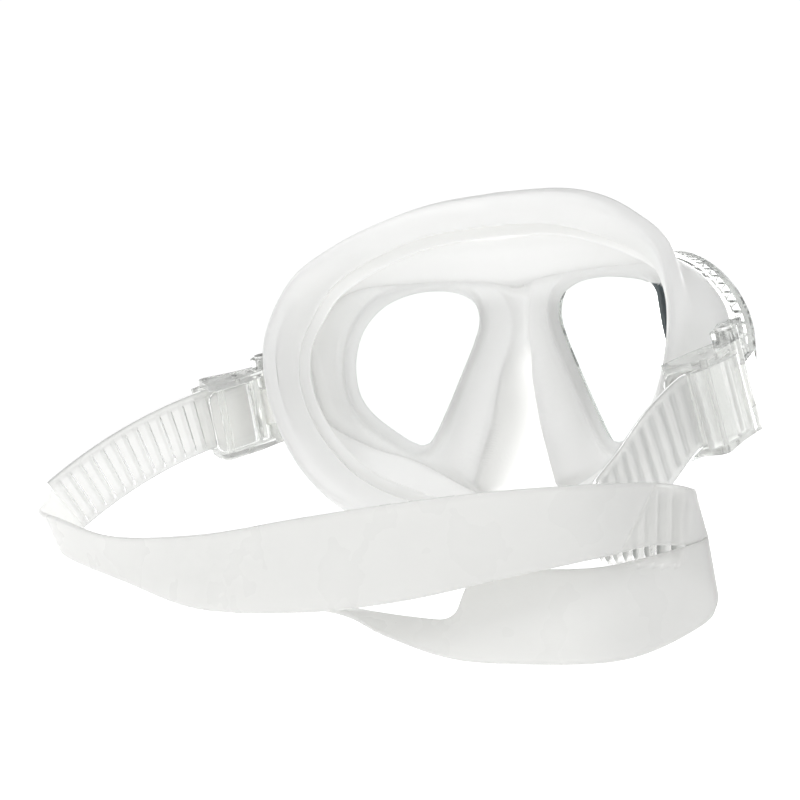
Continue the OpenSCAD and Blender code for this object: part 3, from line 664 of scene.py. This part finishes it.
def build_head_band():
    """The split band as one sheet with a slit, thickened and rounded at its edges."""
    halves = []
    for low, high in ((TOP_LOW, TOP_HIGH), (LOW_LOW, LOW_HIGH)):
        a, b = spline(low, BAND_STEPS), spline(high, BAND_STEPS)
        t = np.linspace(0, 1, BAND_COLUMNS + 1)[None, :, None]
        halves.append(a[:, None] * (1 - t) + b[:, None] * t)
    count, width = halves[0].shape[:2]
    points = np.vstack([h.reshape(-1, 3) for h in halves])
    first, last = (JOINED_LEFT - 1) * BAND_STEPS, (JOINED_RIGHT + 1) * BAND_STEPS

    def index(half, i, j):
        if half == 0 and j == 0 and (i <= first or i >= last):
            return count * width + i * width + width - 1
        return half * count * width + i * width + j

    faces = [(index(h, i, j), index(h, i, j + 1), index(h, i + 1, j + 1), index(h, i + 1, j))
             for h in (0, 1) for i in range(count - 1) for j in range(width - 1)]
    obj = new_mesh("head_band", points, faces, MATERIALS["band_silicone"])
    remove_loose(obj)
    thick = obj.modifiers.new("thickness", "SOLIDIFY")
    thick.thickness = STRAP_T * MM
    thick.offset = 0
    soft = obj.modifiers.new("round edges", "SUBSURF")
    soft.levels = soft.render_levels = 1
    obj = apply_modifiers(obj)
    x = np.array([v.co.x for v in obj.data.vertices]) / MM
    z = np.array([v.co.z for v in obj.data.vertices]) / MM + PAD_MID
    slant = -105.5 - 0.42 * (z + 46)
    thin = 0.7 * smooth_step((slant - x) / 0.8) * smooth_step((x + 118) / 2) * (z > -49.5)
    # Painted shade growing towards the right end; painted light on the left corner
    painted_shade = 0.26 * smooth_step((-88 - x) / 26)
    glow = 0.55 * smooth_step((x - 106) / 6)
    for key, value in (("thin", thin), ("painted_shade", painted_shade), ("glow", glow)):
        obj.data.attributes.new(key, "FLOAT", "POINT").data.foreach_set("value", value)
    return obj


def remove_loose(obj):
    used = sorted({v for p in obj.data.polygons for v in p.vertices})
    slot = {v: i for i, v in enumerate(used)}
    points = [obj.data.vertices[v].co[:] for v in used]
    faces = [[slot[v] for v in p.vertices] for p in obj.data.polygons]
    material = obj.data.materials[0]
    mesh = bpy.data.meshes.new(obj.name)
    mesh.from_pydata(points, [], faces)
    mesh.materials.append(material)
    mesh.update()
    obj.data = mesh


# ------------------------------------------------------------------ stage


def build_stage():
    floor_z = cad_low.z - 0.0004
    size, bend = 3.0, 0.8
    mesh = bpy.data.meshes.new("floor")
    mesh.from_pydata([(-size, -size, floor_z), (size, -size, floor_z), (size, size, floor_z),
                      (-size, size, floor_z)], [], [(0, 1, 2, 3)])
    floor = bpy.data.objects.new("floor", mesh)
    bpy.context.scene.collection.objects.link(floor)
    material, tree = node_tree("floor_white")
    lit = add(tree, "BsdfDiffuse", {"Color": (0.9, 0.9, 0.9, 1)})
    glow = add(tree, "Emission", {"Color": (1, 1, 1, 1), "Strength": 0.5})
    both = add(tree, "AddShader", {0: lit.outputs[0], 1: glow.outputs[0]})
    add(tree, "OutputMaterial", {"Surface": both.outputs[0]})
    mesh.materials.append(material)


def build_world():
    """Even white studio; only mirror and clear rays meet the darker cards above eye level."""
    world = bpy.data.worlds.new("studio")
    bpy.context.scene.world = world
    world.use_nodes = True
    tree = world.node_tree
    tree.nodes.clear()
    place = add(tree, "TexCoord")
    split = add(tree, "SeparateXYZ", {"Vector": place.outputs["Generated"]})
    up = split.outputs["Z"]
    ramp = add(tree, "ValToRGB", {"Fac": math_node(tree, "MULTIPLY_ADD", up, 0.5)})
    ramp.inputs[0].default_value = 0.5
    shift = math_node(tree, "ADD", math_node(tree, "MULTIPLY", up, 0.5), 0.5)
    tree.links.new(shift, ramp.inputs["Fac"])
    stops = ramp.color_ramp.elements
    stops[0].position, stops[0].color = 0.0, (1, 1, 1, 1)
    stops[1].position, stops[1].color = 1.0, (1, 1, 1, 1)
    for place_at, value in ((0.60, 1.0), (0.68, 0.25), (0.78, 0.2), (0.84, 0.9)):
        stop = stops.new(place_at)
        stop.color = (value, value, value * 0.99, 1)
    path = add(tree, "LightPath")
    sharp = math_node(tree, "MAXIMUM", path.outputs["Is Glossy Ray"], path.outputs["Is Transmission Ray"])
    soft = add(tree, "Background", {"Color": (0.98, 0.985, 1.0, 1), "Strength": 0.75})
    cards = add(tree, "Background", {"Color": ramp.outputs["Color"], "Strength": 1.12})
    seen = add(tree, "Background", {"Color": (1, 1, 1, 1), "Strength": 1.05})
    lit = add(tree, "MixShader", {0: sharp, 1: soft.outputs[0], 2: cards.outputs[0]})
    out = add(tree, "MixShader", {0: path.outputs["Is Camera Ray"], 1: lit.outputs[0], 2: seen.outputs[0]})
    add(tree, "OutputWorld", {"Surface": out.outputs[0]})


def area_light(name, place, aim, size, power):
    data = bpy.data.lights.new(name, "AREA")
    data.shape = "DISK"
    data.size = size
    data.energy = power
    lamp = bpy.data.objects.new(name, data)
    bpy.context.scene.collection.objects.link(lamp)
    lamp.location = place
    lamp.rotation_mode = "QUATERNION"
    lamp.rotation_quaternion = (Vector(aim) - Vector(place)).to_track_quat("-Z", "Y")


def build_lights():
    centre = (cad_low + cad_high) / 2
    area_light("key", centre + Vector((0.55, 0.75, 0.8)), centre, 0.6, 4.0)
    area_light("fill", centre + Vector((-0.9, 0.35, 0.3)), centre, 0.7, 0.8)
    area_light("front", Vector((0.10, -0.45, 0.02)), Vector((0, 0, -0.04)), 0.3, 0.6)


def build_camera():
    """Behind the mask, towards the wearer's right, level with the strap's buckles."""
    around, tilt, roll, distance = math.radians(42.12), 0.0, math.radians(-2.11), 0.5794
    target = Vector((0.0199, 0.040, -0.00973 - PAD_MID * MM))
    back = Vector((-math.sin(around) * math.cos(tilt), math.cos(around) * math.cos(tilt), math.sin(tilt)))
    right = Vector((0, 0, 1)).cross(back).normalized()
    up = back.cross(right)
    right, up = right * math.cos(roll) + up * math.sin(roll), up * math.cos(roll) - right * math.sin(roll)
    data = bpy.data.cameras.new("camera")
    data.lens, data.sensor_width = 88.57, 36.0
    data.clip_start, data.clip_end = 0.01, 20.0
    camera = bpy.data.objects.new("camera", data)
    camera.matrix_world = Matrix.Translation(target + back * distance) @ Matrix(
        (right, up, back)).transposed().to_4x4()
    bpy.context.scene.collection.objects.link(camera)
    bpy.context.scene.camera = camera


# ------------------------------------------------------------------ put together

dress_cad_nodes()

seal = build_seal()
front = build_front()
for piece in (seal, front):
    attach(piece, "mask")
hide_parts("skirt")

band = build_head_band()
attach(band, "mask")
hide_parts("head_band")

left = build_left_strap()
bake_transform(left)
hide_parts("strap_end_left")

right = build_right_strap()
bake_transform(right)
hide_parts("strap_end_right")

build_stage()
build_world()
build_lights()
build_camera()
bpy.context.scene.view_settings.view_transform = "Standard"
bpy.context.scene.cycles.transparent_max_bounces = 24
bpy.context.scene.cycles.transmission_bounces = 16
bpy.context.scene.cycles.max_bounces = 20
bpy.context.scene.cycles.diffuse_bounces = 6
